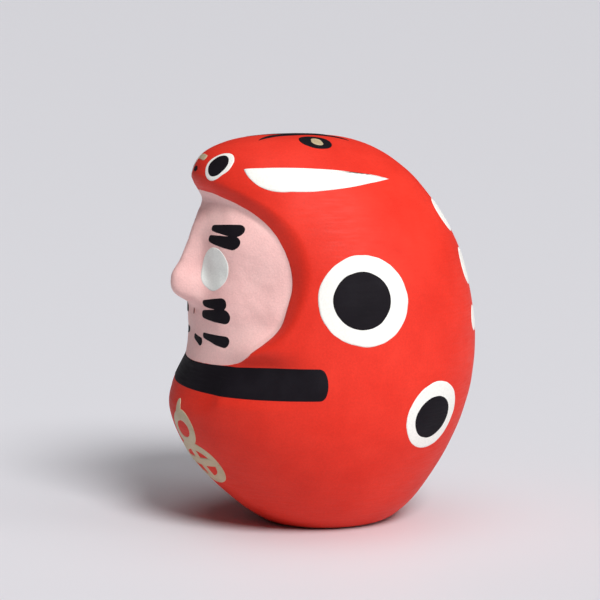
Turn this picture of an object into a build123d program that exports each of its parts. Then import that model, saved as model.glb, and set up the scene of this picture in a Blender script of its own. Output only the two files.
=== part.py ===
"""A hooded papier-mache daruma doll, as the layers and pieces it is made of.

The origin is the middle of the foot, on the surface the doll stands on. +Z is up, the face looks
along -Y, and the doll's own left is +X. All sizes are in millimetres.
"""
from build123d import *
from math import cos, radians, sin
import os

os.makedirs("parts", exist_ok=True)

# ---- Driving dimensions -------------------------------------------------------------------------

# Level sections of the painted body: height, reach to the front, reach to the back, half width.
STATIONS = [
    (0.0, 16.3, 17.6, 16.3),
    (1.2, 18.3, 19.8, 18.2),
    (5.0, 24.0, 24.5, 23.4),
    (13.0, 32.7, 30.2, 31.0),
    (22.0, 39.7, 35.5, 37.0),
    (31.0, 43.6, 39.4, 40.8),
    (42.0, 44.2, 42.3, 42.5),
    (54.0, 42.5, 42.9, 42.0),
    (67.0, 40.0, 41.5, 40.0),
    (80.0, 38.5, 37.6, 36.5),
    (91.0, 38.0, 31.2, 31.0),
    (99.0, 37.8, 24.4, 25.5),
    (104.5, 35.2, 17.0, 19.2),
    (108.0, 28.6, 9.0, 12.4),
    (109.6, 19.5, -0.2, 6.3),
]
CROWN = Vertex(0, -9.0, 110.0)

MIDDLE = (0.0, 0.0, 56.0)      # every layer is the same figure, grown about this point
MEAN_RADIUS = 42.0             # distance from MIDDLE to most of the surface

PAPER_WALL = 1.8               # pasted paper of the shell
STRIP_THICKNESS = 0.4          # paper strip glued over the seam
GROUND_THICKNESS = 0.5         # chalk ground over the strip
COAT_THICKNESS = 0.25          # red or pink coat
PAINT_THICKNESS = 0.2          # a brushed mark on the coat

FACE_RECESS = 2.6              # the face sits this far below the hood
FACE_APEX = (-4.0, 64.0)       # y and z of the point the sides of the recess flare from
FACE_DEPTH = 34.5              # distance from the apex to the plane of FACE_OUTLINE
FACE_OUTLINE = [(28.0, 39.0), (56.0, 30.0), (61.0, 12.0), (47.0, -12.5), (20.0, -16.7)]
FACE_TOP = 35.5
FACE_BOTTOM = -17.0

# Level sections of the nose: height, half width, reach to the front.
NOSE_STATIONS = [
    (86.0, 2.2, 35.6),
    (78.0, 3.4, 40.6),
    (73.0, 4.4, 44.0),
    (69.0, 5.2, 45.4),
    (66.5, 5.4, 45.0),
    (64.0, 4.4, 41.0),
]
NOSE_ROOT = 31.0               # the nose sections are centred this far forward

SEAM_Y = 1.5                   # the shell is cut in two across this plane
STRIP_WIDTH = 12.0
FOOT_DISC_RADIUS = 15.0
FOOT_DISC_THICKNESS = 1.2
FOOT_HOLE_RADIUS = 11.0
WEIGHT_TOP = 11.0
COAT_HEM = 0.3                 # the painted layers end this far above the table

BRUSH_REACH = 70.0             # long enough to pass out through the side of the body


# ---- The figure and its layers ------------------------------------------------------------------

def body_section(height, front, back, half_width):
    """A level ellipse of the body."""
    with BuildSketch(Plane((0, (back - front) / 2, height))) as section:
        Ellipse(half_width, (front + back) / 2)
    return section.sketch


with BuildPart() as body:
    loft([*(body_section(*station) for station in STATIONS), CROWN])


def face_window(size):
    """The face's outline, drawn at size times its distance from the apex of the recess."""
    apex_y, apex_z = FACE_APEX
    plane = Plane(origin=(0, apex_y - FACE_DEPTH * size, apex_z), x_dir=(1, 0, 0), z_dir=(0, -1, 0))
    right = [(x * size, z * size) for x, z in FACE_OUTLINE]
    left = [(-x, z) for x, z in reversed(right)]
    with BuildSketch(plane) as window:
        with BuildLine():
            Spline([(0, FACE_TOP * size), *right, (0, FACE_BOTTOM * size), *left], periodic=True)
        make_face()
    return window.sketch


with BuildPart() as face_cone:
    loft([face_window(0.2), face_window(1.6)])


def nose_section(height, half_width, reach):
    """A level ellipse of the nose, whose back half is buried in the face."""
    with BuildSketch(Plane((0, -NOSE_ROOT, height))) as section:
        Ellipse(half_width, reach - NOSE_ROOT)
    return section.sketch


with BuildPart() as nose:
    loft([nose_section(*station) for station in NOSE_STATIONS])

with BuildPart() as recess:
    add(face_cone.part)
    add(scale(body.part, by=1 - FACE_RECESS / MEAN_RADIUS, about=MIDDLE, mode=Mode.PRIVATE),
        mode=Mode.SUBTRACT)

with BuildPart() as figure:
    add(body.part)
    add(recess.part, mode=Mode.SUBTRACT)
    add(nose.part)


def grown(thickness):
    """The whole figure, grown outwards by a thickness, or shrunk by a negative one."""
    return scale(figure.part, by=1 + thickness / MEAN_RADIUS, about=MIDDLE, mode=Mode.PRIVATE)


def above(height):
    """A block that holds everything higher than a level."""
    with BuildPart() as block:
        with BuildSketch(Plane.XY.offset(height)):
            Rectangle(120, 120)
        extrude(amount=130)
    return block.part


def layer(inner, outer, hem):
    """The skin between two sizes of the figure, down to a hem."""
    outside = grown(outer)
    inside = grown(inner)
    block = above(hem)
    with BuildPart() as skin:
        add(outside)
        add(block, mode=Mode.INTERSECT)
        add(inside, mode=Mode.SUBTRACT)
    return skin.part


SHELL_OUTSIDE = -GROUND_THICKNESS - STRIP_THICKNESS
SHELL_INSIDE = SHELL_OUTSIDE - PAPER_WALL
PAINT_OUTSIDE = COAT_THICKNESS + PAINT_THICKNESS


def save(part, name):
    """Label a finished piece and write it."""
    part.label = name
    export_step(part, f"parts/{name}.step")


# ---- Foot: card disc and clay weight ------------------------------------------------------------

with BuildPart() as foot_disc:
    with BuildSketch():
        Circle(FOOT_DISC_RADIUS)
    extrude(amount=FOOT_DISC_THICKNESS)
save(foot_disc.part, "foot_disc")

hollow = grown(SHELL_INSIDE)

with BuildPart() as foot_weight:
    with BuildSketch():
        Circle(60)
    extrude(amount=WEIGHT_TOP)
    add(hollow, mode=Mode.INTERSECT)
    with BuildSketch(Plane.XY.offset(FOOT_DISC_THICKNESS)):
        Circle(FOOT_HOLE_RADIUS)
    extrude(amount=WEIGHT_TOP / 2)
save(foot_weight.part, "foot_weight")

# ---- Paper shell, its seam strip and the ground coat ---------------------------------------------

paper = layer(SHELL_INSIDE, SHELL_OUTSIDE, 0)

with BuildPart() as shell:
    add(paper)
    add(foot_weight.part, mode=Mode.SUBTRACT)

with BuildPart() as shell_front:
    add(shell.part)
    split(bisect_by=Plane.XZ.offset(-SEAM_Y), keep=Keep.TOP)
save(shell_front.part, "shell_front")

with BuildPart() as shell_back:
    add(shell.part)
    split(bisect_by=Plane.XZ.offset(-SEAM_Y), keep=Keep.BOTTOM)
save(shell_back.part, "shell_back")

strip_layer = layer(SHELL_OUTSIDE, SHELL_OUTSIDE + STRIP_THICKNESS, FOOT_DISC_THICKNESS)

with BuildPart() as seam_strip:
    with BuildSketch(Plane.XZ.offset(-SEAM_Y)):
        Rectangle(120, 260)
    extrude(amount=STRIP_WIDTH / 2, both=True)
    add(strip_layer, mode=Mode.INTERSECT)
save(seam_strip.part, "seam_strip")

ground_layer = layer(SHELL_OUTSIDE, 0, COAT_HEM)

with BuildPart() as gofun_ground:
    add(ground_layer)
    add(seam_strip.part, mode=Mode.SUBTRACT)
    add(foot_disc.part, mode=Mode.SUBTRACT)
save(gofun_ground.part, "gofun_ground")

# ---- Red and pink coats ---------------------------------------------------------------------------

coat = layer(0, COAT_THICKNESS, COAT_HEM)

with BuildPart() as red_coat:
    add(coat)
    add(face_cone.part, mode=Mode.SUBTRACT)
save(red_coat.part, "red_coat")

with BuildPart() as face_coat:
    add(coat)
    add(face_cone.part, mode=Mode.INTERSECT)
    add(shell_front.part, mode=Mode.SUBTRACT)
save(face_coat.part, "face_coat")

# ---- Painted marks --------------------------------------------------------------------------------

paint_layer = layer(COAT_THICKNESS, PAINT_OUTSIDE, FOOT_DISC_THICKNESS)


def facing(azimuth, elevation, height):
    """A drawing plane through the doll's axis. It faces outwards, azimuth degrees from the front
    towards the doll's left and elevation degrees up, and its x runs level to the doll's left."""
    turn, rise = radians(azimuth), radians(elevation)
    outwards = (sin(turn) * cos(rise), -cos(turn) * cos(rise), sin(rise))
    return Plane(origin=(0, 0, height), x_dir=(cos(turn), sin(turn), 0), z_dir=outwards)


FRONT = facing(0, 0, 0)
SIDE = Plane.YZ
ABOVE = Plane.XY.offset(60)
HOOD_FRONT = facing(0, 29, 82.4)
HOOD_EYE = facing(15.6, 29, 82.4)
HOOD_SIDE = facing(63, 42, 75)
FLANK = facing(86.8, 11, 59.7)
REAR = facing(117.2, -12, 43)
BELLY = facing(0, -25, 42.6)


def brushed(plane, *outlines):
    """The film of paint under some outlines, seen square to their plane."""
    with BuildPart() as film:
        with BuildSketch(plane):
            add(outlines)
        extrude(amount=BRUSH_REACH)
        add(paint_layer, mode=Mode.INTERSECT)
    return film.part


def save_pair(left, name):
    """Write a mark of the doll's left side and its mirror image on the right."""
    with BuildPart() as right:
        add(mirror(left, about=Plane.YZ, mode=Mode.PRIVATE))
    save(left, f"{name}_left")
    save(right.part, f"{name}_right")


def oval(x, y, half_width, half_height):
    """An ellipse about (x, y)."""
    with BuildSketch() as shape:
        with Locations((x, y)):
            Ellipse(half_width, half_height)
    return shape.sketch


def dab(tip, tip_radius, end, end_radius):
    """One dab of a round brush: the outline round two circles."""
    with BuildSketch() as shape:
        with Locations(tip):
            Circle(tip_radius)
        with Locations(end):
            Circle(end_radius)
        make_hull()
    return shape.sketch


def leaf(tip, over, under, end):
    """A shape pointed at both ends: two arcs, each through one point between them."""
    with BuildSketch() as shape:
        with BuildLine():
            ThreePointArc(tip, over, end)
            ThreePointArc(end, under, tip)
        make_face()
    return shape.sketch


# Face. A dab is a thin end and its radius, then a thick end and its radius.
UPPER_BROW = ((9.2, 85.3), 0.8, (16.7, 85.0), 1.7)
LOWER_BROW = ((8.6, 82.3), 1.0, (16.6, 81.7), 1.9)
UPPER_MOUSTACHE = ((8.2, 64.5), 0.8, (14.8, 64.9), 1.6)
LOWER_MOUSTACHE = ((7.4, 61.2), 1.1, (15.8, 61.5), 1.8)
CHEEK_BEARD = ((6.8, 55.4), 0.8, (15.9, 54.5), 1.6)
CHIN_BEARD = ((-0.4, 54.5), 0.5, (4.8, 53.4), 1.0)
save_pair(brushed(FRONT, oval(10.4, 74.1, 5.2, 6.0)), "eye_white")
save_pair(brushed(FRONT, dab(*UPPER_BROW), dab(*LOWER_BROW)), "brow")
save_pair(brushed(FRONT, dab(*UPPER_MOUSTACHE), dab(*LOWER_MOUSTACHE)), "moustache")
save_pair(brushed(FRONT, dab(*CHEEK_BEARD)), "beard_large")
save(brushed(FRONT, dab(*CHIN_BEARD)), "beard_small")
save(brushed(FRONT, oval(0.2, 61.5, 0.7, 0.9)), "mouth_mark")

# Collar band, seen from the side, right round the front
with BuildPart() as collar_band:
    with BuildSketch(SIDE):
        with BuildLine():
            ThreePointArc((-15.5, 49.4), (-33, 48.8), (-50, 47.2))
            Line((-50, 47.2), (-50, 40.5))
            Line((-50, 40.5), (-15.5, 40.8))
            ThreePointArc((-15.5, 40.8), (-13.5, 45.1), (-15.5, 49.4))
        make_face()
    extrude(amount=BRUSH_REACH, both=True)
    add(paint_layer, mode=Mode.INTERSECT)
save(collar_band.part, "collar_band")

# Cow's face and ears on the hood
PUPIL = ((-0.7, -0.2), 2.75, (0.1, 0.9), 2.75)
EYE_RING = ((-1.0, -0.4), 3.6, (0.5, 1.1), 3.6)
MUZZLE = ((-2.8, 2.0), 0.8, (1.9, 1.8), 0.9)
EAR = ((20.0, 8.2), (0.0, 3.1), (1.0, -5.1), (-19.4, 0.4))
save_pair(brushed(HOOD_EYE, dab(*PUPIL)), "hood_eye_pupil")
save_pair(brushed(HOOD_EYE, dab(*EYE_RING) - dab(*PUPIL)), "hood_eye_ring")
save(brushed(HOOD_FRONT, dab(*MUZZLE)), "muzzle_patch")
save(brushed(HOOD_FRONT, oval(-1.0, -1.8, 1.7, 0.8)), "muzzle_mark")
save_pair(brushed(HOOD_SIDE, leaf(*EAR)), "ear_stroke")

# Crown
DOT = ((10.7, -6.2), 2.1, (11.5, -6.0), 2.1)
ARCH = ((7.2, -21.6), (3.7, -8.2), (0.2, -8.2), (6.9, 5.2))
save_pair(brushed(ABOVE, dab(*DOT)), "crown_dot")
save_pair(brushed(ABOVE, oval(11.0, -6.4, 4.4, 4.6) - dab(*DOT)), "crown_disc")
save_pair(brushed(ABOVE, leaf(*ARCH)), "crown_arch")

# Spots: plane, then the middle and half sizes of the white ring and of the black disc on it
SPOTS = {
    "flank": (FLANK, (-0.35, 0.0, 12.5, 12.4), (-1.0, 0.0, 8.0, 7.85)),
    "rear": (REAR, (0.4, 0.15, 10.3, 9.75), (0.1, -0.35, 7.0, 6.0)),
}
for place, (plane, ring, disc) in SPOTS.items():
    save_pair(brushed(plane, oval(*disc)), f"{place}_spot_disc")
    save_pair(brushed(plane, oval(*ring) - oval(*disc)), f"{place}_spot_ring")

# Gourd on the belly: a stalk, a small ring over a large ring, and a cross in the large one
LINE = 2.8
with BuildSketch() as large_ring:
    with Locations((4.4, -5.2)):
        Ellipse(8.7 + LINE / 2, 6.05 + LINE / 2)
        Ellipse(8.7 - LINE / 2, 6.05 - LINE / 2, mode=Mode.SUBTRACT)
    with Locations((4.8, -5.2)):
        SlotOverall(13.8, LINE, rotation=90)
    with Locations((4.4, -4.6)):
        SlotOverall(18.8, LINE)
with BuildSketch() as gourd:
    with Locations((4.2, 5.9)):
        Ellipse(5.2 + LINE / 2, 3.9 + LINE / 2)
        Ellipse(5.2 - LINE / 2, 3.9 - LINE / 2, mode=Mode.SUBTRACT)
    with Locations((2.3, 11.0)):
        SlotOverall(5.6, 3.4, rotation=100)
    add(large_ring.sketch)
save(brushed(BELLY, gourd.sketch), "belly_gourd")

# White dots down both sides of the back: azimuth, elevation and height of the plane, and radius
BACK_DOTS = [(155, 30, 68, 5.4), (153, 17, 61, 5.4), (151, 6, 54, 3.6)]
with BuildPart() as back_dots:
    for azimuth, elevation, height, size in BACK_DOTS:
        add(brushed(facing(azimuth, elevation, height), oval(0, 0, size, size)))
save_pair(back_dots.part, "back_dots")
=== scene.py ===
"""The visible layers of the daruma doll: its coats of paint, brushed marks, ground and paper shell.

Everything is worked out in millimetres about the frame's origin, with the face along -Y, the doll's
left along +X and +Z up, and is turned into metres when a mesh is made.
"""
import math

import bmesh
import bpy
import numpy as np
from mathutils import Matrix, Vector


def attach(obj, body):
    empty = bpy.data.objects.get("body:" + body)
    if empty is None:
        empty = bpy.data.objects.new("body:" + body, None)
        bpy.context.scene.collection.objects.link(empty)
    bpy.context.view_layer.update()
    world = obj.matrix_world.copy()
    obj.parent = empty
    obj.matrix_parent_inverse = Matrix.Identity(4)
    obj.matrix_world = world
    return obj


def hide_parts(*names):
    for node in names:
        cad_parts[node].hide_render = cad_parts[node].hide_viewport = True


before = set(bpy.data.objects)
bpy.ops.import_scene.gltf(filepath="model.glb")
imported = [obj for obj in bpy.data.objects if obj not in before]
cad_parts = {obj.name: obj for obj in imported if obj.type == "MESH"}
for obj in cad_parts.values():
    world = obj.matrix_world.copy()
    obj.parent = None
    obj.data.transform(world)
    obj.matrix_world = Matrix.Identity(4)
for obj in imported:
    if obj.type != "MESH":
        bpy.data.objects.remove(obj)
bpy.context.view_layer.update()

MM = 0.001

# ---- The painted surface ------------------------------------------------------------------------

# Level sections of the body: height, reach to the front, reach to the back, half width.
STATIONS = np.array([
    (0.0, 16.3, 17.6, 16.3),
    (1.2, 18.3, 19.8, 18.2),
    (5.0, 24.0, 24.5, 23.4),
    (13.0, 32.7, 30.2, 31.0),
    (22.0, 39.7, 35.5, 37.0),
    (31.0, 43.6, 39.4, 40.8),
    (42.0, 44.2, 42.3, 42.5),
    (54.0, 42.5, 42.9, 42.0),
    (67.0, 40.0, 41.5, 40.0),
    (80.0, 38.5, 37.6, 36.5),
    (91.0, 38.0, 31.2, 31.0),
    (99.0, 37.8, 24.4, 25.5),
    (104.5, 35.2, 17.0, 19.2),
    (108.0, 28.6, 9.0, 12.4),
    (109.6, 19.5, -0.2, 6.3),
    (110.0, 9.0, -9.0, 0.0),
])
HEART = np.array([0.0, 0.0, 62.0])   # every part of the surface can be seen from here
FOOT_LEVEL = 0.4                     # the coats end this far above the table
FOOT_ROUNDING = 1.0
FACE_MIDDLE = 66.0                   # height of the face's widest level

# Super-ovals about FACE_MIDDLE: half width, reach up, power above, reach down, power below.
RECESS = (32.4, 30.0, 2.25, 17.5, 2.8)
PINK = (29.8, 29.0, 2.3, 18.2, 3.9)
FACE_BACK = 4.0                      # the face and the neck lie in front of this y

# The face's recess: its depth at each level, and how much deeper its sides are, from one x to
# another and from one level to another.
RECESS_LEVELS = (46, 54, 63, 72, 84, 94.5)
RECESS_DEPTHS = (5.0, 4.4, 2.3, 2.1, 1.35, 4.3)
SIDE_DEPTH = 1.9
SIDE_X, SIDE_LEVELS = (13, 28), (50, 60)

# At the jowls the recess goes a share of the way to another depth. Middle and width in x and z.
JOWL_SHARE = 0.8
JOWL_DEPTH = 0.6
JOWL_X, JOWL_Z = (31, 7), (51, 5)

# The recess's wall runs over these distances outside the outline. Beside the chin, which fades in
# over a range of levels and of x, it is a long slope: CHIN_FROM and CHIN_TO are added there.
WALL_FROM, WALL_TO = -0.4, 3.3
CHIN_FROM, CHIN_TO = 3.9, 13.2
CHIN_LEVELS, CHIN_X = (56, 50), (30, 18)

NECK_LOW, NECK_TOP = 37.3, 54.5      # the groove above the belly, under the chin
NECK_FLOOR = (46.0, 47.0)
NECK_DEPTH = 3.6
NECK_ENDS = (44, 72)                 # degrees from the front over which it fades out
JOIN = 3                             # how sharply the recess and the neck groove meet, per mm

NOSE_HEIGHT = 7.5
NOSE_LEVELS = (60, 63.2, 66.4, 69.8, 75, 82, 92)
NOSE_PROFILE = (0, 0.04, 0.79, 1, 0.69, 0.32, 0)
NOSE_WIDTH_LEVELS = (60, 68, 76, 92)
NOSE_WIDTHS = (6.0, 5.2, 3.8, 6.0)
NOSE_POWER = 2.3                     # above 2, its ridge is blunter than a bell's

# Unevenness: height, size and seed of each layer of noise
LUMPS = ((0.16, 13.0, 3), (0.05, 5.0, 4))
FACE_SKIN = ((0.15, 4.2, 5), (0.05, 2.0, 6))


def smooth_curve(knots, values, where):
    """A smooth curve through (knots, values), with each knot's slope set by its two neighbours."""
    knots, values = np.asarray(knots, float), np.asarray(values, float)
    gaps = np.diff(knots)
    slopes = np.diff(values) / gaps
    bends = np.empty(len(knots))
    bends[1:-1] = (slopes[:-1] * gaps[1:] + slopes[1:] * gaps[:-1]) / (gaps[1:] + gaps[:-1])
    bends[0], bends[-1] = slopes[0], slopes[-1]
    where = np.clip(where, knots[0], knots[-1])
    i = np.clip(np.searchsorted(knots, where) - 1, 0, len(gaps) - 1)
    gap = gaps[i]
    t = (where - knots[i]) / gap
    near = (1 + 2 * t) * (1 - t) ** 2 * values[i] + t * (1 - t) ** 2 * gap * bends[i]
    far = t * t * (3 - 2 * t) * values[i + 1] + t * t * (t - 1) * gap * bends[i + 1]
    return near + far


def ease(low, high, x):
    """0 at low, 1 at high, smooth between and level beyond. low may be the larger of the two."""
    t = np.clip((x - low) / (high - low), 0, 1)
    return t * t * (3 - 2 * t)


def bell(x, middle, width):
    """1 at the middle, falling away smoothly over the width."""
    return np.exp(-((x - middle) / width) ** 2)


def section_tables():
    """Dense tables of the sections by height: half depth, middle and half width."""
    height, front, back, half_width = STATIONS.T
    depth = (front + back) / 2
    middle = (back - front) / 2
    chord = np.concatenate([[0], np.cumsum(np.hypot(np.diff(height), np.diff(depth)))])
    rows = 4000
    along = np.linspace(0, chord[-1], rows)
    z = np.maximum.accumulate(smooth_curve(chord, height, along))
    return z, *(smooth_curve(chord, row, along) for row in (depth, middle, half_width))


TABLE_Z, TABLE_DEPTH, TABLE_MIDDLE, TABLE_WIDTH = section_tables()


def scramble(cell, seed):
    """A number from -1 to 1 that looks random but is always the same for a cell of space."""
    i = cell.astype(np.uint64)
    word = i[..., 0] * np.uint64(73856093) ^ i[..., 1] * np.uint64(19349663)
    word = word ^ i[..., 2] * np.uint64(83492791) ^ np.uint64(seed * 2654435761)
    word = (word ^ (word >> np.uint64(13))) * np.uint64(1274126177)
    word = (word ^ (word >> np.uint64(16))) & np.uint64(0xFFFF)
    return word.astype(float) / 32767.5 - 1


def value_noise(points, size, seed):
    """Smooth noise from -1 to 1 over space, with bumps about size mm apart."""
    q = points / size + seed * 17.31
    cell = np.floor(q).astype(np.int64)
    t = q - cell
    t = t * t * t * (t * (6 * t - 15) + 10)
    total = np.zeros(points.shape[:-1])
    for corner in np.ndindex(2, 2, 2):
        weight = np.prod([t[..., k] if corner[k] else 1 - t[..., k] for k in range(3)], axis=0)
        total += weight * scramble(cell + corner, seed)
    return total


def unevenness(points, layers):
    """The sum of layers of noise, each a height, a size and a seed."""
    return sum(height * value_noise(points, size, seed) for height, size, seed in layers)


def face_distance(points):
    """Roughly how far, in mm, points of the envelope lie outside the face's outline."""
    x, z = points[..., 0], points[..., 2]
    half_width, rise, power_up, drop, power_down = RECESS
    up = z > FACE_MIDDLE
    power = np.where(up, power_up, power_down)
    share = (z - FACE_MIDDLE) / np.where(up, rise, drop)
    level = np.abs(x / half_width) ** power + np.abs(share) ** power
    level = np.maximum(level, 1e-4) ** (1 / power)
    distance = np.hypot(x, z - FACE_MIDDLE) * (1 - 1 / level)
    behind = 60.0
    return np.where(points[..., 1] < FACE_BACK, distance, behind)


def recess_depth(x, z):
    """How deep the face's recess would be at its floor."""
    depth = smooth_curve(RECESS_LEVELS, RECESS_DEPTHS, z)
    depth = depth + SIDE_DEPTH * ease(*SIDE_X, np.abs(x)) * ease(*SIDE_LEVELS, z)
    jowl = JOWL_SHARE * bell(np.abs(x), *JOWL_X) * bell(z, *JOWL_Z)
    return depth - (depth - JOWL_DEPTH) * jowl


def neck_depth(x, y, z):
    """How deep the groove under the chin is."""
    around = np.degrees(np.arctan2(np.abs(x), -y))
    neck = NECK_DEPTH * ease(NECK_LOW, NECK_FLOOR[0], z) * (1 - ease(NECK_FLOOR[1], NECK_TOP, z))
    return neck * (1 - ease(*NECK_ENDS, around))


def nose_height(x, z):
    """How far the nose stands up from the face."""
    height = NOSE_HEIGHT * smooth_curve(NOSE_LEVELS, NOSE_PROFILE, z)
    width = smooth_curve(NOSE_WIDTH_LEVELS, NOSE_WIDTHS, z)
    return height * np.exp(-np.abs(x / width) ** NOSE_POWER)


def relief(points):
    """How far the painted surface stands out of the envelope at its points."""
    x, y, z = points[..., 0], points[..., 1], points[..., 2]
    out = face_distance(points)
    chin_side = ease(*CHIN_LEVELS, z) * ease(*CHIN_X, np.abs(x))
    sunk = 1 - ease(WALL_FROM + CHIN_FROM * chin_side, WALL_TO + CHIN_TO * chin_side, out)
    recess = np.exp(JOIN * recess_depth(x, z) * sunk)
    sinking = np.log(recess + np.exp(JOIN * neck_depth(x, y, z)) - 1) / JOIN
    on_face = 1 - ease(-3, 0, out)
    skin = unevenness(points, FACE_SKIN) * on_face
    foot_fade = ease(0, 6, z)
    front = np.where(y < FACE_BACK, 1.0, 0.0)
    return front * (nose_height(x, z) - sinking + skin) + unevenness(points, LUMPS) * foot_fade


def envelope_distance(points):
    """Roughly how far points lie outside the plain envelope, rounded at the foot."""
    z = points[..., 2]
    half_depth = np.maximum(np.interp(z, TABLE_Z, TABLE_DEPTH), 1e-3)
    half_width = np.maximum(np.interp(z, TABLE_Z, TABLE_WIDTH), 1e-3)
    middle = np.interp(z, TABLE_Z, TABLE_MIDDLE)
    across = np.hypot(points[..., 0] / half_width, (points[..., 1] - middle) / half_depth) - 1
    over_top = 50.0
    side = np.where(z > TABLE_Z[-1], over_top, across * half_depth)
    under = FOOT_LEVEL - z
    near = np.maximum(FOOT_ROUNDING - np.abs(side - under), 0)
    return np.maximum(side, under) + near ** 2 / (4 * FOOT_ROUNDING)


BEYOND = 75.0        # longer than any ray from inside to the surface
RADIUS_HALVINGS = 26
HIT_HALVINGS = 22


def radius(directions):
    """Distance from the heart to the painted surface along unit directions."""
    low = np.zeros(directions.shape[:-1])
    high = np.full(directions.shape[:-1], BEYOND)
    for _ in range(RADIUS_HALVINGS):
        mid = (low + high) / 2
        outside = envelope_distance(HEART + directions * mid[..., None]) > 0
        high = np.where(outside, mid, high)
        low = np.where(outside, low, mid)
    reach = (low + high) / 2
    return reach + relief(HEART + directions * reach[..., None])


def unit(vectors):
    return vectors / np.linalg.norm(vectors, axis=-1, keepdims=True)


def surface(directions):
    """Points and outward normals of the painted surface along directions from the heart."""
    directions = unit(directions)
    spare = np.where(np.abs(directions[..., 2:3]) > 0.8, [[1.0, 0, 0]], [[0, 0, 1.0]])
    right = unit(np.cross(spare, directions))
    up = np.cross(directions, right)
    step = 0.004     # radians
    ends = []
    for side in (right, -right, up, -up):
        turned = unit(directions + step * side)
        ends.append(turned * radius(turned)[..., None])
    normals = unit(np.cross(ends[0] - ends[1], ends[2] - ends[3]))
    return HEART + directions * radius(directions)[..., None], normals


def hit(origins, aim):
    """Points and normals where rays from inside, all along aim or one each, leave the surface."""
    aim = np.broadcast_to(aim, origins.shape)
    low = np.zeros(origins.shape[:-1])
    high = np.full(origins.shape[:-1], BEYOND)
    for _ in range(HIT_HALVINGS):
        mid = (low + high) / 2
        arm = origins + aim * mid[..., None] - HEART
        length = np.linalg.norm(arm, axis=-1)
        outside = length > radius(arm / np.maximum(length, 1e-9)[..., None])
        high = np.where(outside, mid, high)
        low = np.where(outside, low, mid)
    return surface(origins + aim * high[..., None] - HEART)


# ---- Drawing on the surface ---------------------------------------------------------------------

def towards(azimuth, elevation):
    """The direction azimuth degrees from the front towards the doll's left and elevation up."""
    turn, rise = math.radians(azimuth), math.radians(elevation)
    return np.array([math.sin(turn) * math.cos(rise), -math.cos(turn) * math.cos(rise), math.sin(rise)])


class Sheet:
    """A flat drawing plane through the doll's axis, facing azimuth and elevation degrees.

    side is -1 for the mirror image on the doll's right."""

    def __init__(self, azimuth, elevation, height):
        turn = math.radians(azimuth)
        self.origin = np.array([0, 0, height])
        self.across = np.array([math.cos(turn), math.sin(turn), 0])
        self.out = towards(azimuth, elevation)
        self.up = np.cross(self.out, self.across)

    def place(self, uv, side=1):
        mirror = np.array([side, 1, 1])
        origins = self.origin + uv[..., :1] * self.across + uv[..., 1:] * self.up
        return hit(origins * mirror, self.out * mirror)


class Girdle:
    """A drawing wrapped round the doll: u is degrees from the front towards its left, v is height."""

    def place(self, uv, side=1):
        turn = np.radians(uv[..., 0]) * side
        level = np.zeros(turn.shape)
        origins = np.stack([level, level, uv[..., 1]], -1)
        return hit(origins, np.stack([np.sin(turn), -np.cos(turn), level], -1))


FRONT = Sheet(0, 0, 0)
ABOVE = Sheet(0, 90, 60)
HOOD_FRONT = Sheet(0, 29, 82.4)
HOOD_EYE = Sheet(15.6, 29, 82.4)
HOOD_SIDE = Sheet(63, 42, 75)
FLANK = Sheet(86.8, 11, 59.7)
REAR = Sheet(117.2, -12, 43)
BELLY = Sheet(0, -25, 42.6)
GIRDLE = Girdle()


# ---- Meshes -------------------------------------------------------------------------------------

SAME_PLACE = 1e-7    # metres within which two vertices are one


def start_mesh(name, vertices, faces):
    """A new mesh and its bmesh in metres, from vertices in millimetres, with doubles merged."""
    mesh = bpy.data.meshes.new(name)
    mesh.from_pydata((vertices * MM).tolist(), [], faces)
    bm = bmesh.new()
    bm.from_mesh(mesh)
    bmesh.ops.remove_doubles(bm, verts=bm.verts, dist=SAME_PLACE)
    return mesh, bm


def finish_piece(mesh, bm, node, slot):
    """Makes the mesh an object that stands for a CAD node and moves with the doll."""
    bmesh.ops.recalc_face_normals(bm, faces=bm.faces)
    bm.to_mesh(mesh)
    bm.free()
    mesh.polygons.foreach_set("use_smooth", [True] * len(mesh.polygons))
    mesh.materials.append(MATERIALS[slot])
    piece = bpy.data.objects.new(mesh.name, mesh)
    bpy.context.scene.collection.objects.link(piece)
    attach(piece, "root")
    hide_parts(node)


def mesh_piece(name, node, slot, vertices, faces):
    """A piece made of closed films."""
    mesh, bm = start_mesh(name, vertices, faces)
    bmesh.ops.dissolve_degenerate(bm, edges=bm.edges, dist=SAME_PLACE / 10)
    finish_piece(mesh, bm, node, slot)


def grid_faces(rows, columns, start):
    """Quads of a grid of vertices that are numbered from start."""
    faces = []
    for i in range(rows - 1):
        for j in range(columns - 1):
            a = start + i * columns + j
            b = a + columns
            faces.append((a, b, b + 1, a + 1))
    return faces


def film(grids):
    """Closed films from grids of (top points, bottom points), joined round their open edges."""
    vertices, faces = [], []
    for top, bottom in grids:
        rows, columns = top.shape[:2]
        start = sum(len(part) for part in vertices)
        vertices += [top.reshape(-1, 3), bottom.reshape(-1, 3)]
        under = start + rows * columns
        faces += grid_faces(rows, columns, start)
        faces += [tuple(reversed(face)) for face in grid_faces(rows, columns, under)]
        rims = [[i * columns for i in range(rows)], [i * columns + columns - 1 for i in range(rows)],
                list(range(columns)), [(rows - 1) * columns + j for j in range(columns)]]
        for rim in rims:
            for a, b in zip(rim, rim[1:]):
                faces.append((start + a, start + b, under + b, under + a))
    return np.concatenate(vertices), faces


def full_turn(count):
    """count angles evenly round a circle."""
    return np.linspace(0, 2 * math.pi, count + 1)[:-1]


def round_grid(rows, columns):
    """A square grid squeezed into a disc of radius 1."""
    u, v = np.meshgrid(np.linspace(-1, 1, rows), np.linspace(-1, 1, columns), indexing="ij")
    return u * np.sqrt(1 - v * v / 2), v * np.sqrt(1 - u * u / 2)


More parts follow.
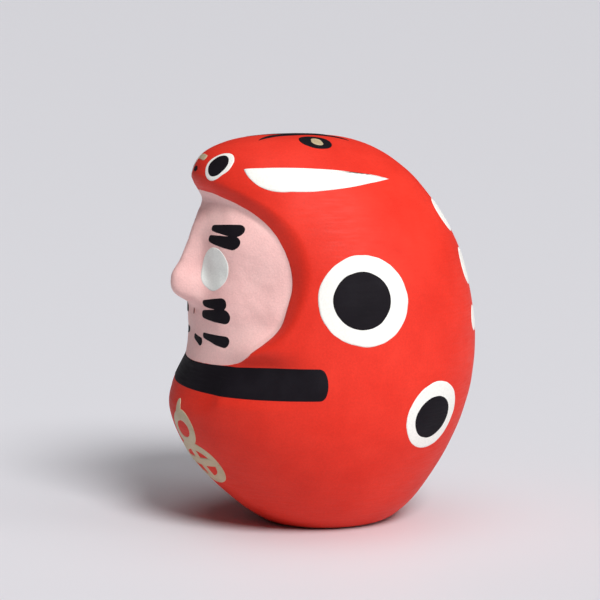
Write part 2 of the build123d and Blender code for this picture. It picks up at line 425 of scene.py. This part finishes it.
def rounded_edge(inset, rim):
    """Share of a film's thickness at a distance in from its edge, which rounds off over rim."""
    return np.sqrt(np.clip(1 - (1 - np.clip(inset / rim, 0, 1)) ** 2, 0, 1))


def evenly(outline, count):
    """A closed outline's points spaced evenly along it."""
    closed = np.concatenate([outline, outline[:1]])
    along = np.concatenate([[0], np.cumsum(np.linalg.norm(np.diff(closed, axis=0), axis=1))])
    where = np.linspace(0, along[-1], count + 1)[:-1]
    return np.stack([np.interp(where, along, closed[:, k]) for k in (0, 1)], -1)


def arc_through(start, middle, end, count):
    """count points along the circular arc through three points."""
    a, b, c = (complex(*point) for point in (start, middle, end))
    w = (c - a) / (b - a)
    centre = a + (b - a) * (w - abs(w) ** 2) / (w - w.conjugate())
    first = math.atan2((a - centre).imag, (a - centre).real)
    turns = [(math.atan2((p - centre).imag, (p - centre).real) - first) % (2 * math.pi) for p in (b, c)]
    sweep = turns[1] if turns[0] < turns[1] else turns[1] - 2 * math.pi
    turn = first + sweep * np.linspace(0, 1, count)
    return np.stack([centre.real + abs(a - centre) * np.cos(turn),
                     centre.imag + abs(a - centre) * np.sin(turn)], -1)


def hull_outline(tip, tip_radius, end, end_radius):
    """The outline round two circles and the straight sides between them."""
    tip, end = np.array(tip, float), np.array(end, float)
    turn = full_turn(180)
    rim = np.stack([np.cos(turn), np.sin(turn)], -1)
    reach = np.maximum(rim @ tip + tip_radius, rim @ end + end_radius)
    step = turn[1] - turn[0]
    slope = (np.roll(reach, -1) - np.roll(reach, 1)) / (2 * step)
    side = np.stack([-np.sin(turn), np.cos(turn)], -1)
    return evenly(rim * reach[:, None] + side * slope[:, None], 240)


def ear_outline(tip, top, shoulder, heel, lowest, under):
    """A leaf with a sharp tip and a blunt heel: three arcs through tip, shoulder and lowest point."""
    arcs = [arc_through(tip, top, shoulder, 90), arc_through(shoulder, heel, lowest, 60),
            arc_through(lowest, under, tip, 90)]
    return np.concatenate([arc[:-1] for arc in arcs])


def super_oval(half_width, rise, power_up, drop, power_down):
    """An outline about (0, 0) whose upper and lower halves have a reach and a power of their own."""
    turn = full_turn(360)
    x, y = np.cos(turn), np.sin(turn)
    power = np.where(y > 0, power_up, power_down)
    tall = np.where(y > 0, rise, drop)
    reach = (np.abs(x / half_width) ** power + np.abs(y / tall) ** power) ** (-1 / power)
    return np.stack([x * reach, y * reach], -1)


def oval_outline(x, y, half_width, half_height):
    """An oval's outline about (x, y)."""
    turn = full_turn(120)
    return np.stack([x + half_width * np.cos(turn), y + half_height * np.sin(turn)], -1)


def hand_drawn(outline, wobble, seed):
    """The outline with the unevenness of a brush held by hand."""
    middle = outline.mean(0)
    spots = np.concatenate([outline, np.zeros((len(outline), 1))], -1)
    drift = wobble * unevenness(spots, ((1, 4.5, seed), (0.5, 1.6, seed + 1)))
    return outline + unit(outline - middle) * drift[:, None]


PAINT_BITE = 0.12    # a film's underside is this far inside the surface it lies on
FEWEST = 8           # rows or columns of a long thin mark's short side


def disc_grid(place, outline, count, lift, thickness, rim, side=1):
    """A film over a rounded outline: (top points, bottom points)."""
    middle = (outline.min(0) + outline.max(0)) / 2
    size = (outline.max(0) - outline.min(0)) / 2
    shape = (outline - middle) / size
    turn = np.arctan2(shape[:, 1], shape[:, 0])
    order = np.argsort(turn)
    reach = np.hypot(shape[:, 0], shape[:, 1])[order]
    turn = turn[order]
    rows, columns = [max(FEWEST, int(round(count * min(1, share))))
                     for share in (size[0] / size[1], size[1] / size[0])]
    x, y = round_grid(rows, columns)
    far = np.interp(np.arctan2(y, x), turn, reach, period=2 * math.pi)
    flat = np.stack([x, y], -1) * far[..., None]
    inset = (1 - np.hypot(x, y)) * far * size.min()
    points, normals = place(middle + flat * size, side)
    rise = lift + thickness * rounded_edge(inset, rim)
    return points + normals * rise[..., None], points + normals * (lift - PAINT_BITE)


def band_grid(place, spine, half_width, count, lift, thickness, rim, side=1, scale=(1, 1)):
    """A film along a spine with a half width at each of its points. scale is mm per unit of u, v."""
    scale = np.asarray(scale, float)
    real = spine * scale
    along = unit(np.gradient(real, axis=0))
    across = np.stack([-along[:, 1], along[:, 0]], -1)
    w = np.sin(np.linspace(-math.pi / 2, math.pi / 2, count))
    uv = real[:, None] + across[:, None] * (w[None, :, None] * half_width[:, None, None])
    points, normals = place(uv / scale, side)
    inset = (1 - np.abs(w))[None, :] * half_width[:, None]
    rise = lift + thickness * rounded_edge(inset, rim)
    return points + normals * rise[..., None], points + normals * (lift - PAINT_BITE)


# ---- Materials ----------------------------------------------------------------------------------

def shade(name, build=None, **settings):
    """A material whose Principled shader gets fixed settings and whatever build links to it."""
    material = bpy.data.materials.new(name)
    material.use_nodes = True
    tree = material.node_tree
    shader = tree.nodes["Principled BSDF"]
    for socket, value in settings.items():
        shader.inputs[socket.replace("_", " ")].default_value = value
    if build:
        place = tree.nodes.new("ShaderNodeTexCoord").outputs["Object"]
        build(tree, shader, place)
    return material


def noise(tree, place, size, detail, roughness, stretch=(1, 1, 1)):
    """Noise with features about size mm apart, longer or shorter by stretch along X, Y and Z."""
    mapping = tree.nodes.new("ShaderNodeMapping")
    mapping.inputs["Scale"].default_value = [1 / (size * MM * s) for s in stretch]
    texture = tree.nodes.new("ShaderNodeTexNoise")
    texture.inputs["Scale"].default_value = 1.0
    texture.inputs["Detail"].default_value = detail
    texture.inputs["Roughness"].default_value = roughness
    tree.links.new(place, mapping.inputs["Vector"])
    tree.links.new(mapping.outputs["Vector"], texture.inputs["Vector"])
    return texture.outputs["Fac"]


def ramp(tree, factor, first, last, between):
    """A colour ramp of three stops, each a position and a colour."""
    node = tree.nodes.new("ShaderNodeValToRGB")
    elements = node.color_ramp.elements
    elements.new(between[0]).color = (*between[1], 1)
    for element, (position, colour) in ((elements[0], first), (elements[-1], last)):
        element.position = position
        element.color = (*colour, 1)
    tree.links.new(factor, node.inputs["Fac"])
    return node.outputs["Color"]


def multiply(tree, first, second):
    """The product of two colours."""
    node = tree.nodes.new("ShaderNodeMix")
    node.data_type = "RGBA"
    node.blend_type = "MULTIPLY"
    node.inputs["Factor"].default_value = 1.0
    for socket, value in zip([s for s in node.inputs if s.type == "RGBA"], (first, second)):
        tree.links.new(value, socket)
    return [s for s in node.outputs if s.type == "RGBA"][0]


def span(tree, value, low, high, to_low, to_high):
    """Maps a value from one range to another."""
    node = tree.nodes.new("ShaderNodeMapRange")
    for socket, number in zip(("From Min", "From Max", "To Min", "To Max"),
                              (low, high, to_low, to_high)):
        node.inputs[socket].default_value = number
    tree.links.new(value, node.inputs["Value"])
    return node.outputs["Result"]


def bump(tree, shader, *layers):
    """Stacks bumps: each layer is a height and its depth in mm."""
    normal = None
    for height, depth in layers:
        node = tree.nodes.new("ShaderNodeBump")
        node.inputs["Strength"].default_value = 1.0
        node.inputs["Distance"].default_value = depth * MM
        tree.links.new(height, node.inputs["Height"])
        if normal:
            tree.links.new(normal, node.inputs["Normal"])
        normal = node.outputs["Normal"]
    tree.links.new(normal, shader.inputs["Normal"])


CLOUD_SIZE = 14           # mm between the cloudy patches of a coat of paint
GRAIN_SIZE = 0.55
STREAK_SIZE = 1.0
STREAK_STRETCH = (6, 6, 0.6)
SPECKLE = (0.93, 1.05)    # darkest and lightest grain, as a share of the colour


def paint(name, colour, dark, light, grain=0.035, streak=0.02, rough=(0.5, 0.66), specular=0.35):
    """Matte brushed paint: cloudy patches of darker and lighter paint, brush streaks and grain.

    grain and streak are the depths in mm of its bumps, and rough is its least and most roughness."""
    def build(tree, shader, place):
        clouds = noise(tree, place, CLOUD_SIZE, 4, 0.55)
        patches = ramp(tree, clouds, (0.3, dark), (0.72, light), (0.5, colour))
        fine = noise(tree, place, GRAIN_SIZE, 4, 0.6)
        brush = noise(tree, place, STREAK_SIZE, 3, 0.6, STREAK_STRETCH)
        speckle = span(tree, fine, 0.3, 0.7, *SPECKLE)
        tone = tree.nodes.new("ShaderNodeCombineColor")
        for channel in tone.inputs:
            tree.links.new(speckle, channel)
        tree.links.new(multiply(tree, patches, tone.outputs["Color"]), shader.inputs["Base Color"])
        tree.links.new(span(tree, brush, 0.3, 0.7, *rough), shader.inputs["Roughness"])
        bump(tree, shader, (fine, grain), (brush, streak))
    return shade(name, build, Specular_IOR_Level=specular)


def make_materials():
    """One material for each slot of the record: its colour, and its darker and lighter patches."""
    return {
        "red_paint": paint("red_paint", (0.75, 0.032, 0.016), (0.70, 0.026, 0.012),
                           (0.79, 0.038, 0.020), specular=0.2),
        "pink_paint": paint("pink_paint", (0.94, 0.575, 0.545), (0.88, 0.515, 0.49),
                            (0.96, 0.625, 0.59), grain=0.09, rough=(0.55, 0.7), specular=0.25),
        "black_paint": paint("black_paint", (0.0095, 0.0075, 0.0105), (0.0075, 0.006, 0.0085),
                             (0.014, 0.012, 0.016), rough=(0.55, 0.7), specular=0.08),
        "white_paint": paint("white_paint", (0.88, 0.87, 0.82), (0.84, 0.83, 0.78),
                             (0.91, 0.90, 0.86)),
        "eye_grey_paint": paint("eye_grey_paint", (0.86, 0.87, 0.83), (0.80, 0.82, 0.78),
                                (0.90, 0.90, 0.87)),
        "gold_paint": paint("gold_paint", (0.56, 0.45, 0.28), (0.46, 0.36, 0.21),
                            (0.64, 0.54, 0.36), grain=0.05, rough=(0.36, 0.55), specular=0.5),
        "brown_paint": paint("brown_paint", (0.30, 0.09, 0.07), (0.24, 0.07, 0.055),
                             (0.36, 0.12, 0.09)),
        "chalk_ground": paint("chalk_ground", (0.84, 0.82, 0.76), (0.79, 0.77, 0.70),
                              (0.88, 0.86, 0.81)),
        "papier_mache": paint("papier_mache", (0.50, 0.42, 0.30), (0.42, 0.34, 0.23),
                              (0.58, 0.50, 0.38), grain=0.12, streak=0.06),
        "washi_strip": paint("washi_strip", (0.70, 0.66, 0.55), (0.64, 0.60, 0.49),
                             (0.76, 0.72, 0.62), grain=0.08),
        "fired_clay": paint("fired_clay", (0.34, 0.14, 0.075), (0.27, 0.105, 0.055),
                            (0.41, 0.18, 0.10), grain=0.10, streak=0.05),
        "foot_card": paint("foot_card", (0.42, 0.33, 0.20), (0.36, 0.28, 0.165),
                           (0.48, 0.385, 0.25), grain=0.07, streak=0.04),
    }


MATERIALS = make_materials()

# The weight and the card disc keep their CAD shapes.
for node, slot in (("foot_weight", "fired_clay"), ("foot_disc", "foot_card")):
    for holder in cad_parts[node].material_slots:
        holder.material = MATERIALS[slot]


# ---- Hidden layers: paper shell, seam strip and chalk ground ------------------------------------

def cube_sphere(count):
    """Directions and quads of a cube's faces blown up into a ball."""
    turn = np.tan(np.linspace(-math.pi / 4, math.pi / 4, count))
    u, v = np.meshgrid(turn, turn, indexing="ij")
    one = np.ones_like(u)
    directions, faces = [], []
    for k, sides in enumerate(((one, u, v), (-one, v, u), (v, one, u), (u, -one, v), (u, v, one),
                               (v, u, -one))):
        directions.append(unit(np.stack(sides, -1)).reshape(-1, 3))
        faces += grid_faces(count, count, k * count * count)
    return np.concatenate(directions), faces


FRONT_STAYS, BACK_STAYS = -1, 1


def shell_layer(name, node, slot, depths, count, cuts=()):
    """The closed skin between two depths below the surface.

    Each cut is the y of a plane across the doll and the side of it that stays."""
    directions, faces = cube_sphere(count)
    points, normals = surface(directions)
    vertices = np.concatenate([points - normals * depth for depth in depths])
    inside = [tuple(i + len(points) for i in reversed(face)) for face in faces]
    mesh, bm = start_mesh(name, vertices, faces + inside)
    bmesh.ops.recalc_face_normals(bm, faces=bm.faces)
    for y, keep in cuts:
        everything = bm.verts[:] + bm.edges[:] + bm.faces[:]
        bmesh.ops.bisect_plane(bm, geom=everything, plane_co=(0, y * MM, 0), plane_no=(0, -keep, 0),
                               clear_outer=True, dist=SAME_PLACE)
        rim = [edge for edge in bm.edges if edge.is_boundary]
        bmesh.ops.bridge_loops(bm, edges=rim)
    finish_piece(mesh, bm, node, slot)


# Outer and inner depth of each layer
CHALK = (0.3, 0.55)
WASHI = (0.56, 0.92)
PAPER = (0.95, 2.6)
SEAM_Y = 1.5
STRIP_HALF = 6.0
FINE, COARSE = 120, 60               # vertices along a side of the cube that a layer is made from

shell_layer("chalk_ground_skin", "gofun_ground", "chalk_ground", CHALK, FINE)
shell_layer("seam_strip_washi", "seam_strip", "washi_strip", WASHI, COARSE,
            ((SEAM_Y - STRIP_HALF, BACK_STAYS), (SEAM_Y + STRIP_HALF, FRONT_STAYS)))
shell_layer("shell_front_paper", "shell_front", "papier_mache", PAPER, COARSE, ((SEAM_Y, FRONT_STAYS),))
shell_layer("shell_back_paper", "shell_back", "papier_mache", PAPER, COARSE, ((SEAM_Y, BACK_STAYS),))


# ---- Red and pink coats -------------------------------------------------------------------------

PINK_LAP = 0.6        # the pink runs on this far past the edge of the red coat's window
PINK_COAT = 0.03      # its edge rounds off by this much
RED_TOP = 0.07        # the red coat's outside stands this far out
RED_UNDER = 0.15      # and its underside lies this far in
COAT_EDGE = 0.3
WINDOW_ARC = 38.0     # mm to a radian about the heart at the window's edge


def face_outline(grow=0.0):
    """The pink's outline seen from the front, grown outwards by a distance."""
    wobble, seed = 0.12, 21
    outline = hand_drawn(super_oval(*PINK) + [0, FACE_MIDDLE], wobble, seed)
    inside = np.array([0, 70.0])
    return outline + unit(outline - inside) * grow


def red_coat():
    """The red coat: a closed film over everything but the face, drawn about the back's middle."""
    points, _ = FRONT.place(face_outline())
    rim = unit(points - HEART)
    back = unit(np.array([0.0, 1.0, -0.06]))
    right = unit(np.cross(back, [0, 0, 1.0]))
    up = np.cross(right, back)
    polar = np.arccos(np.clip(rim @ back, -1, 1))
    turn = np.arctan2(rim @ up, rim @ right)
    order = np.argsort(turn)
    x, y = round_grid(300, 300)
    around = np.arctan2(y, x)
    far = np.interp(around, turn[order], polar[order], period=2 * math.pi)
    share = np.hypot(x, y)
    angle = far * share
    sideways = np.cos(around)[..., None] * right + np.sin(around)[..., None] * up
    directions = np.cos(angle)[..., None] * back + np.sin(angle)[..., None] * sideways
    points, normals = surface(directions)
    rise = RED_TOP * rounded_edge((1 - share) * far * WINDOW_ARC, COAT_EDGE)
    top = points + normals * rise[..., None]
    mesh_piece("red_coat_skin", "red_coat", "red_paint", *film([(top, points - normals * RED_UNDER)]))


def pink_coat():
    """The pink coat on the face, just below the red coat's level."""
    grid = disc_grid(FRONT.place, face_outline(PINK_LAP), 190, -PINK_COAT, PINK_COAT, COAT_EDGE)
    mesh_piece("face_coat_skin", "face_coat", "pink_paint", *film([grid]))


red_coat()
pink_coat()


# ---- Painted marks ------------------------------------------------------------------------------

THICK = 0.09          # a mark brushed once
EDGE = 0.28           # its edge rounds off over this distance
LAP = 0.012           # each further stroke of one mark lies this much higher, as they may cross


def mark(node, slot, grids):
    """One mark from its grids."""
    mesh_piece(f"{node}_film", node, slot, *film(grids))


def mark_pair(name, slot, draw):
    """The same mark on both sides: draw(side) gives its grids."""
    for side, word in ((1, "left"), (-1, "right")):
        mark(f"{name}_{word}", slot, draw(side))


def blot(sheet, outline, count, lift=0.0, wobble=0.08):
    """draw(side) for one rounded mark."""
    seed = 31

    def draw(side):
        return [disc_grid(sheet.place, hand_drawn(outline, wobble, seed + side), count, lift, THICK,
                          EDGE, side)]
    return draw


def dabs(sheet, *shapes, lift=0.0, seed=41):
    """draw(side) for dabs of a round brush, each the hull of two circles."""
    wobble = 0.12

    def draw(side):
        outlines = [hand_drawn(hull_outline(*shape), wobble, seed + 2 * k + side)
                    for k, shape in enumerate(shapes)]
        return [disc_grid(sheet.place, outline, 44, lift + LAP * k, THICK, EDGE, side)
                for k, outline in enumerate(outlines)]
    return draw


# Face. A dab is a thin end and its radius, then a thick end and its radius.
UPPER_BROW = ((9.2, 85.3), 0.8, (16.7, 85.0), 1.7)
LOWER_BROW = ((8.6, 82.3), 1.0, (16.6, 81.7), 1.9)
UPPER_MOUSTACHE = ((8.2, 64.5), 0.9, (14.6, 64.7), 1.8)
LOWER_MOUSTACHE = ((7.4, 61.4), 1.1, (15.6, 61.5), 1.95)
CHEEK_BEARD = ((6.8, 55.4), 0.8, (15.9, 54.5), 1.6)
CHIN_BEARD = ((0.4, 54.4), 0.8, (4.6, 53.4), 1.2)
EYE = (10.4, 74.1, 5.2, 6.0)         # middle and half sizes, as for the other ovals below
MOUTH = (0.2, 61.5, 0.7, 0.9)
mark_pair("eye_white", "eye_grey_paint", blot(FRONT, oval_outline(*EYE), 56))
mark_pair("brow", "black_paint", dabs(FRONT, UPPER_BROW, LOWER_BROW))
mark_pair("moustache", "black_paint", dabs(FRONT, UPPER_MOUSTACHE, LOWER_MOUSTACHE, seed=51))
mark_pair("beard_large", "black_paint", dabs(FRONT, CHEEK_BEARD, seed=61))
mark("beard_small", "black_paint", dabs(FRONT, CHIN_BEARD, seed=71)(1))
mark("mouth_mark", "brown_paint", blot(FRONT, oval_outline(*MOUTH), 14, wobble=0.03)(1))

# Collar band round the front: degrees out to its ends and over its rounded corners, and for its top
# and low edge the height at the middle, how much it rises, and the degrees over which it does
COLLAR_END = 71.8
COLLAR_CORNER = 3.8
COLLAR_TOP, TOP_RISE, TOP_TURN = 47.7, 1.8, (0, 72)
COLLAR_LOW, LOW_RISE, LOW_TURN = 40.5, 0.4, (40, 80)
GIRDLE_SCALE = (0.72, 1)             # mm to a degree round the collar, and mm to a mm of height


def collar_grid():
    """The collar band's film."""
    turn = COLLAR_END * np.sin(np.linspace(-math.pi / 2, math.pi / 2, 260))
    top = COLLAR_TOP + TOP_RISE * ease(*TOP_TURN, np.abs(turn))
    low = COLLAR_LOW + LOW_RISE * ease(*LOW_TURN, np.abs(turn))
    corner = np.clip((np.abs(turn) - COLLAR_END + COLLAR_CORNER) / COLLAR_CORNER, 0, 1)
    half = (top - low) / 2 * np.sqrt(1 - corner ** 3)
    spine = np.stack([turn, (top + low) / 2], -1)
    return band_grid(GIRDLE.place, spine, half, 28, RED_TOP, THICK, EDGE, scale=GIRDLE_SCALE)


mark("collar_band", "black_paint", [collar_grid()])

# Cow's face and ears on the hood
PUPIL = ((-0.7, -0.2), 2.75, (0.1, 0.9), 2.75)
EYE_RING = ((-1.0, -0.4), 3.6, (0.5, 1.1), 3.6)
MUZZLE = ((-2.8, 2.0), 0.8, (1.9, 1.8), 0.9)
MUZZLE_MARK = (-1.0, -1.8, 1.7, 0.8)
EAR = ((20.0, 8.3), (1.0, 3.2), (-18.4, 1.6), (-14.9, -3.0), (-5.0, -5.2), (8.0, -1.8))
mark_pair("hood_eye_ring", "white_paint", dabs(HOOD_EYE, EYE_RING, lift=RED_TOP, seed=31))
mark_pair("hood_eye_pupil", "black_paint", dabs(HOOD_EYE, PUPIL, lift=RED_TOP + THICK, seed=33))
mark("muzzle_patch", "gold_paint", dabs(HOOD_FRONT, MUZZLE, lift=RED_TOP, seed=35)(1))
mark("muzzle_mark", "black_paint",
     blot(HOOD_FRONT, oval_outline(*MUZZLE_MARK), 24, RED_TOP, wobble=0.04)(1))
mark_pair("ear_stroke", "white_paint", blot(HOOD_SIDE, ear_outline(*EAR), 90, RED_TOP, wobble=0.06))

# Crown. The arch is an arc through three points, pointed at both ends.
CROWN_DISC = (11.0, -6.4, 4.4, 4.6)
DOT = ((10.5, -6.0), 1.5, (11.9, -6.2), 1.7)
ARCH = ((7.2, -21.6), (2.0, -8.2), (6.9, 5.2))
ARCH_HALF = 2.1
ARCH_LIFT = 0.006                    # keeps the two arches apart where they meet


def crown_arch(side):
    """One of the two arches back to back on the crown."""
    points = 90
    spine = arc_through(*ARCH, points)
    half = ARCH_HALF * np.sin(np.linspace(0, math.pi, points)) ** 0.8
    return [band_grid(ABOVE.place, spine, half, 15, RED_TOP + ARCH_LIFT * side, THICK, EDGE, side)]


mark_pair("crown_disc", "black_paint", blot(ABOVE, oval_outline(*CROWN_DISC), 44, RED_TOP, wobble=0.1))
mark_pair("crown_dot", "gold_paint", dabs(ABOVE, DOT, lift=RED_TOP + THICK, seed=37))
mark_pair("crown_arch", "black_paint", crown_arch)

# Spots: sheet, then the middle and half sizes of the white ring and of the black disc on it
SPOTS = {"flank": (FLANK, (-0.35, 0.0, 12.5, 12.4), (-1.0, 0.0, 8.0, 7.85)),
         "rear": (REAR, (0.4, 0.15, 10.3, 9.75), (0.1, -0.35, 7.0, 6.0))}
for word, (sheet, ring, disc) in SPOTS.items():
    mark_pair(f"{word}_spot_ring", "white_paint",
              blot(sheet, oval_outline(*ring), 70, RED_TOP, wobble=0.14))
    mark_pair(f"{word}_spot_disc", "black_paint",
              blot(sheet, oval_outline(*disc), 56, RED_TOP + THICK, wobble=0.14))

# Gourd on the belly: two brushed oval lines, a stalk and a cross of two lines
LINE_HALF = 1.4
UPPER_BOWL = (4.2, 5.9, 5.2, 3.9)
LOWER_BOWL = (4.4, -5.2, 8.7, 6.05)
BOWL_LAP = 0.01                      # the lower bowl's line lies this much above the upper one's
GOURD_STROKES = [((2.7, 10.0), 1.9, (1.9, 12.2), 1.3),
                 ((4.9, 0.3), LINE_HALF, (4.7, -10.8), LINE_HALF),
                 ((-3.8, -4.7), LINE_HALF, (12.4, -4.5), LINE_HALF)]


def ring_band(x, y, half_width, half_height, lift):
    """A brushed oval line: its middle line is an oval."""
    spine = oval_outline(x, y, half_width, half_height)
    spine = np.concatenate([spine, spine[:1]])
    return band_grid(BELLY.place, spine, np.full(len(spine), LINE_HALF), 13, lift, THICK, EDGE)


def gourd_grids():
    """The gourd's two oval lines and its strokes."""
    grids = [ring_band(*UPPER_BOWL, RED_TOP), ring_band(*LOWER_BOWL, RED_TOP + BOWL_LAP)]
    for k, stroke in enumerate(GOURD_STROKES):
        outline = hand_drawn(hull_outline(*stroke), 0.1, 91 + k)
        grids.append(disc_grid(BELLY.place, outline, 44, RED_TOP + LAP * (k + 2), THICK, EDGE))
    return grids


mark("belly_gourd", "gold_paint", gourd_grids())

# White dots down both sides of the back: sheet and radius
BACK_DOTS = [(Sheet(157, 30, 68), 5.4), (Sheet(155, 17, 61), 5.4), (Sheet(153, 6, 54), 3.6)]


def back_dots(side):
    """The dots down one side of the back."""
    outlines = [hand_drawn(oval_outline(0, 0, size, size), 0.2, 81 + k)
                for k, (_, size) in enumerate(BACK_DOTS)]
    return [disc_grid(sheet.place, outline, 36, RED_TOP, THICK, EDGE, side)
            for (sheet, _), outline in zip(BACK_DOTS, outlines)]


mark_pair("back_dots", "white_paint", back_dots)


# ---- Floor, light and camera --------------------------------------------------------------------

FLOOR_REACH = 60.0                   # metres to each side
FLOOR_COLOUR = (0.765, 0.76, 0.80, 1)

# Suns: azimuth, elevation, spread and strength
SUNS = {"key": (97, 42, 22, 2.8),
        "rim": (140, 16, 20, 0.5),
        "top": (120, 80, 60, 0.95)}
SKY_COLOUR = (0.95, 0.95, 0.98, 1)
SKY_STRENGTH = 0.06

VIEW_AZIMUTH = 70.0
VIEW_ELEVATION = 8.0
VIEW_DISTANCE = 0.70                 # metres
VIEW_WIDTH = 0.1704                  # metres that the picture spans at the doll
VIEW_CENTRE = (0, 0, 0.055)
VIEW_SHIFT = (-0.039, 0.045)
SENSOR_WIDTH = 36.0                  # millimetres


def floor():
    """A wide pale floor."""
    mesh = bpy.data.meshes.new("floor")
    low, high = -FLOOR_REACH, FLOOR_REACH
    mesh.from_pydata([(low, low, 0), (high, low, 0), (high, high, 0), (low, high, 0)],
                     [], [(0, 1, 2, 3)])
    mesh.materials.append(shade("floor", Base_Color=FLOOR_COLOUR, Roughness=0.5,
                                Specular_IOR_Level=0.1))
    plane = bpy.data.objects.new("floor", mesh)
    bpy.context.scene.collection.objects.link(plane)


def stand_off(name, data, away):
    """An object for a light or a camera that looks back along the direction away."""
    holder = bpy.data.objects.new(name, data)
    bpy.context.scene.collection.objects.link(holder)
    holder.rotation_euler = away.to_track_quat("Z", "Y").to_euler()
    return holder


def soft_sun(name, azimuth, elevation, spread, strength):
    """A large soft light far away, spread degrees across, which lights the floor evenly."""
    light = bpy.data.lights.new(name, "SUN")
    light.angle = math.radians(spread)
    light.energy = strength
    stand_off(name, light, Vector(towards(azimuth, elevation)))


def sky():
    """A faint even light from all round."""
    world = bpy.data.worlds.new("studio")
    world.use_nodes = True
    background = world.node_tree.nodes["Background"]
    background.inputs["Color"].default_value = SKY_COLOUR
    background.inputs["Strength"].default_value = SKY_STRENGTH
    bpy.context.scene.world = world


def camera():
    """The camera, looking at the doll's left side from a little above."""
    away = Vector(towards(VIEW_AZIMUTH, VIEW_ELEVATION))
    data = bpy.data.cameras.new("camera")
    data.sensor_width = SENSOR_WIDTH
    data.lens = SENSOR_WIDTH * VIEW_DISTANCE / VIEW_WIDTH
    data.shift_x, data.shift_y = VIEW_SHIFT
    holder = stand_off("camera", data, away)
    holder.location = Vector(VIEW_CENTRE) + away * VIEW_DISTANCE
    bpy.context.scene.camera = holder


floor()
for name, settings in SUNS.items():
    soft_sun(name, *settings)
camera()
sky()
bpy.context.scene.view_settings.view_transform = "Standard"
